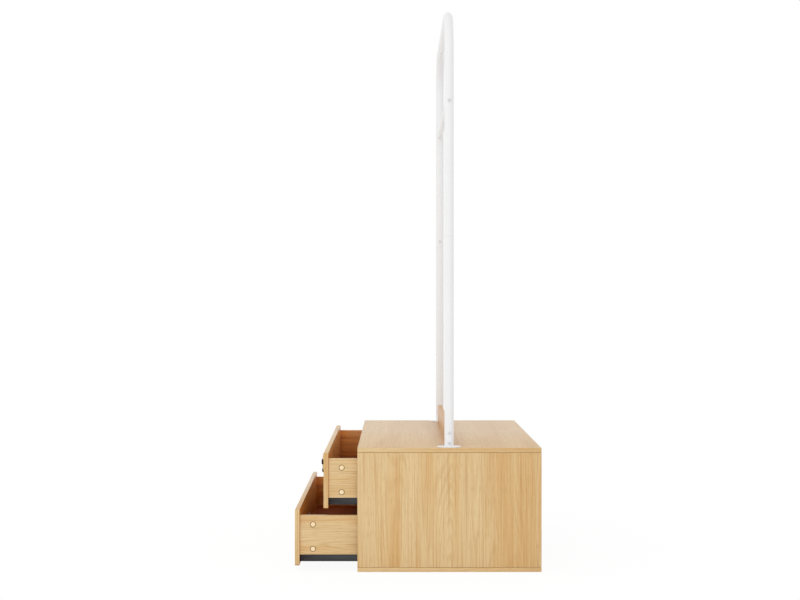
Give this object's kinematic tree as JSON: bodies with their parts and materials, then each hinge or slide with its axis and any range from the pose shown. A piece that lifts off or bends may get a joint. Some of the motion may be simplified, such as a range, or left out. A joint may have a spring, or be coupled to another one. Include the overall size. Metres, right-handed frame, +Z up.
{
  "type": "kids entryway unit",
  "caption": "Low oak-look drawer cabinet for a child's entryway, with pull-out drawers, domed round knobs and a white round-tube clothes frame standing on its top.",
  "frame": {"origin": "centre of the cabinet's underside, where it rests on the floor", "axes": "+Z up, -Y the way the drawers open, +X along the width, to the right of someone facing the drawers"},
  "size_m": [1, 0.6847, 1.514],
  "materials": {
    "oak_melamine": "light oak-look melamine, satin",
    "hardboard": "brown hardboard, semi-matte",
    "white_coat": "white powder coat, satin",
    "white_screw": "white lacquered screw heads",
    "rail_steel": "dark grey coated sheet steel, semi-matte",
    "zinc": "zinc plated",
    "cream_cap": "cream moulded plastic",
    "dark_band": "dark brown moulded plastic",
    "white_plastic": "white moulded plastic"
  },
  "bodies": {
    "cabinet": {"top_board": "oak_melamine", "bottom_board": "oak_melamine", "side_panel_left": "oak_melamine", "side_panel_right": "oak_melamine", "back_panel": "hardboard", "lower_cabinet_rail_left": "rail_steel", "lower_cabinet_rail_right": "rail_steel", "upper_cabinet_rail_left": "rail_steel", "upper_cabinet_rail_right": "rail_steel", "post_left": "white_coat", "post_right": "white_coat", "arch": "white_coat", "mid_bar": "white_coat", "low_board": "oak_melamine", "low_board_screw_left_low": "white_screw", "low_board_screw_left_high": "white_screw", "low_board_screw_right_low": "white_screw", "low_board_screw_right_high": "white_screw", "mid_bar_screw_left": "white_screw", "mid_bar_screw_right": "white_screw", "joint_screw_left": "white_screw", "joint_screw_right": "white_screw", "post_bolt_left": "zinc", "post_bolt_right": "zinc", "bar_plug_left": "white_plastic", "bar_plug_right": "white_plastic"},
    "lower_drawer": {"lower_drawer_front": "oak_melamine", "lower_drawer_side_left": "oak_melamine", "lower_drawer_side_right": "oak_melamine", "lower_drawer_back": "oak_melamine", "lower_drawer_bottom": "hardboard", "lower_drawer_rail_left": "rail_steel", "lower_drawer_rail_right": "rail_steel", "lower_knob": "oak_melamine", "lower_knob_band_high": "dark_band", "lower_knob_band_low": "dark_band", "lower_knob_screw": "zinc", "lower_cam_left_low": "cream_cap", "lower_cam_left_high": "cream_cap", "lower_cam_right_low": "cream_cap", "lower_cam_right_high": "cream_cap"},
    "lower_carriage": {"lower_middle_rail_left": "rail_steel", "lower_middle_rail_right": "rail_steel"},
    "upper_drawer": {"upper_drawer_front": "oak_melamine", "upper_drawer_side_left": "oak_melamine", "upper_drawer_side_right": "oak_melamine", "upper_drawer_back": "oak_melamine", "upper_drawer_bottom": "hardboard", "upper_drawer_rail_left": "rail_steel", "upper_drawer_rail_right": "rail_steel", "upper_knob": "oak_melamine", "upper_knob_band_high": "dark_band", "upper_knob_band_low": "dark_band", "upper_knob_screw": "zinc", "upper_cam_left_low": "cream_cap", "upper_cam_left_high": "cream_cap", "upper_cam_right_low": "cream_cap", "upper_cam_right_high": "cream_cap"},
    "upper_carriage": {"upper_middle_rail_left": "rail_steel", "upper_middle_rail_right": "rail_steel"}
  },
  "joints": [
    {"name": "lower_drawer_slide", "type": "slide", "parent": "cabinet", "child": "lower_drawer", "axis": [0, -1, 0], "range_m": [-0.1674, 0.2126]},
    {"name": "lower_carriage_slide", "type": "slide", "parent": "cabinet", "child": "lower_carriage", "axis": [0, -1, 0], "range_m": [-0.0837, 0.1063]},
    {"name": "upper_drawer_slide", "type": "slide", "parent": "cabinet", "child": "upper_drawer", "axis": [0, -1, 0], "range_m": [-0.0908, 0.2892]},
    {"name": "upper_carriage_slide", "type": "slide", "parent": "cabinet", "child": "upper_carriage", "axis": [0, -1, 0], "range_m": [-0.0454, 0.1446]}
  ],
  "couplings": [
    {"joint": "lower_carriage_slide", "follows": "lower_drawer_slide", "ratio": 0.5},
    {"joint": "upper_carriage_slide", "follows": "upper_drawer_slide", "ratio": 0.5}
  ]
}
